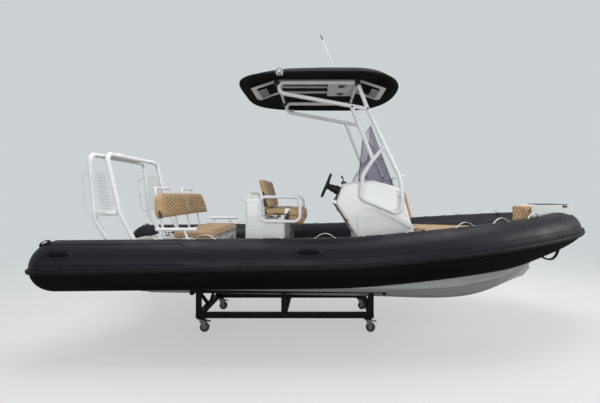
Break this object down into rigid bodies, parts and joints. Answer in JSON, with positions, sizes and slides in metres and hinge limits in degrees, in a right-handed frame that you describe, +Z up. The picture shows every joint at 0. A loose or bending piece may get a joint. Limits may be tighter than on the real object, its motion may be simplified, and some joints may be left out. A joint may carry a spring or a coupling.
{
  "type": "rigid inflatable boat on a wheeled cradle",
  "caption": "Rigid inflatable boat with console, canopy frame, helm seat, stern bench and arch, on a steel cradle with swivel casters.",
  "frame": {"origin": "on the floor under the middle of the bounding box", "axes": "+X to the bow, +Y to port, +Z up"},
  "size_m": [6.5815, 2.558, 3.7786],
  "materials": {
    "hull_paint": "satin painted aluminium",
    "gelcoat_white": "glossy gelcoat",
    "deck_grey": "textured non-slip gelcoat",
    "collar_fabric": "matt coated fabric",
    "strake_rubber": "ribbed rubber",
    "frame_white": "gloss powder coat",
    "seat_tan": "quilted vinyl",
    "canopy_fabric": "woven canvas",
    "screen_tint": "tinted acrylic",
    "helm_black": "soft-touch black",
    "strap_white": "webbing",
    "lamp_white": "moulded plastic",
    "cradle_black": "satin black paint",
    "caster_steel": "zinc plated",
    "caster_rubber": "solid rubber"
  },
  "bodies": {
    "boat": {"aft_deck": "gelcoat_white", "antenna": "lamp_white", "arch_hoops": "frame_white", "arch_lamp": "lamp_white", "arch_panels": "frame_white", "armrests": "frame_white", "bench_back": "seat_tan", "bench_hoops": "frame_white", "bench_locker": "gelcoat_white", "bow_back": "seat_tan", "bow_cushion": "seat_tan", "bow_locker": "gelcoat_white", "bow_moulding": "gelcoat_white", "canopy": "canopy_fabric", "canopy_bars": "frame_white", "canopy_lamps": "lamp_white", "canopy_rails": "frame_white", "canopy_sides": "frame_white", "console": "gelcoat_white", "console_pad": "seat_tan", "cradle": "cradle_black", "deck": "deck_grey", "electronics_box": "gelcoat_white", "grab_straps": "strap_white", "helm_column": "helm_black", "hull": "hull_paint", "pod_rail": "frame_white", "rub_strake": "strake_rubber", "seat_back": "seat_tan", "seat_cushion": "seat_tan", "seat_pod": "gelcoat_white", "side_rails": "frame_white", "swim_pods": "gelcoat_white", "transom": "gelcoat_white", "tubes": "collar_fabric", "windscreen": "screen_tint"},
    "helm_wheel": {"steering_wheel": "helm_black"},
    "seat_bolster": {"bolster": "seat_tan"},
    "bench_seat": {"bench_lid": "gelcoat_white", "bench_cushion": "seat_tan"},
    "hatch_door": {"console_hatch": "gelcoat_white"},
    "swivel_aft_port": {"caster_fork_aft_port": "caster_steel"},
    "roller_aft_port": {"caster_wheel_aft_port": "caster_rubber"},
    "swivel_aft_starboard": {"caster_fork_aft_starboard": "caster_steel"},
    "roller_aft_starboard": {"caster_wheel_aft_starboard": "caster_rubber"},
    "swivel_fwd_port": {"caster_fork_fwd_port": "caster_steel"},
    "roller_fwd_port": {"caster_wheel_fwd_port": "caster_rubber"},
    "swivel_fwd_starboard": {"caster_fork_fwd_starboard": "caster_steel"},
    "roller_fwd_starboard": {"caster_wheel_fwd_starboard": "caster_rubber"}
  },
  "joints": [
    {"name": "steering", "type": "hinge", "parent": "boat", "child": "helm_wheel", "pos_m": [-0.132, 0, 1.776], "axis": [-0.9245, 0, 0.3811], "range_deg": [-540, 540]},
    {"name": "bolster_flip", "type": "hinge", "parent": "boat", "child": "seat_bolster", "pos_m": [-0.59, 0, 1.472], "axis": [0, -1, 0], "range_deg": [0, 90]},
    {"name": "bench_lid_hinge", "type": "hinge", "parent": "boat", "child": "bench_seat", "pos_m": [-1.925, 0, 1.1463], "axis": [0, -1, 0], "range_deg": [0, 60]},
    {"name": "hatch_hinge", "type": "hinge", "parent": "boat", "child": "hatch_door", "pos_m": [0.17537, 0, 1.2142], "axis": [0, -1, 0], "range_deg": [0, 90]},
    {"name": "swivel_aft_port", "type": "hinge", "parent": "boat", "child": "swivel_aft_port", "pos_m": [-1.645, 0.43, 0.17], "axis": [0, 0, 1], "continuous": true},
    {"name": "roll_aft_port", "type": "hinge", "parent": "swivel_aft_port", "child": "roller_aft_port", "pos_m": [-1.611, 0.43, 0.056], "axis": [0, 1, 0], "continuous": true},
    {"name": "swivel_aft_starboard", "type": "hinge", "parent": "boat", "child": "swivel_aft_starboard", "pos_m": [-1.645, -0.43, 0.17], "axis": [0, 0, 1], "continuous": true},
    {"name": "roll_aft_starboard", "type": "hinge", "parent": "swivel_aft_starboard", "child": "roller_aft_starboard", "pos_m": [-1.611, -0.43, 0.056], "axis": [0, 1, 0], "continuous": true},
    {"name": "swivel_fwd_port", "type": "hinge", "parent": "boat", "child": "swivel_fwd_port", "pos_m": [0.358, 0.43, 0.17], "axis": [0, 0, 1], "continuous": true},
    {"name": "roll_fwd_port", "type": "hinge", "parent": "swivel_fwd_port", "child": "roller_fwd_port", "pos_m": [0.392, 0.43, 0.056], "axis": [0, 1, 0], "continuous": true},
    {"name": "swivel_fwd_starboard", "type": "hinge", "parent": "boat", "child": "swivel_fwd_starboard", "pos_m": [0.358, -0.43, 0.17], "axis": [0, 0, 1], "continuous": true},
    {"name": "roll_fwd_starboard", "type": "hinge", "parent": "swivel_fwd_starboard", "child": "roller_fwd_starboard", "pos_m": [0.392, -0.43, 0.056], "axis": [0, 1, 0], "continuous": true}
  ]
}
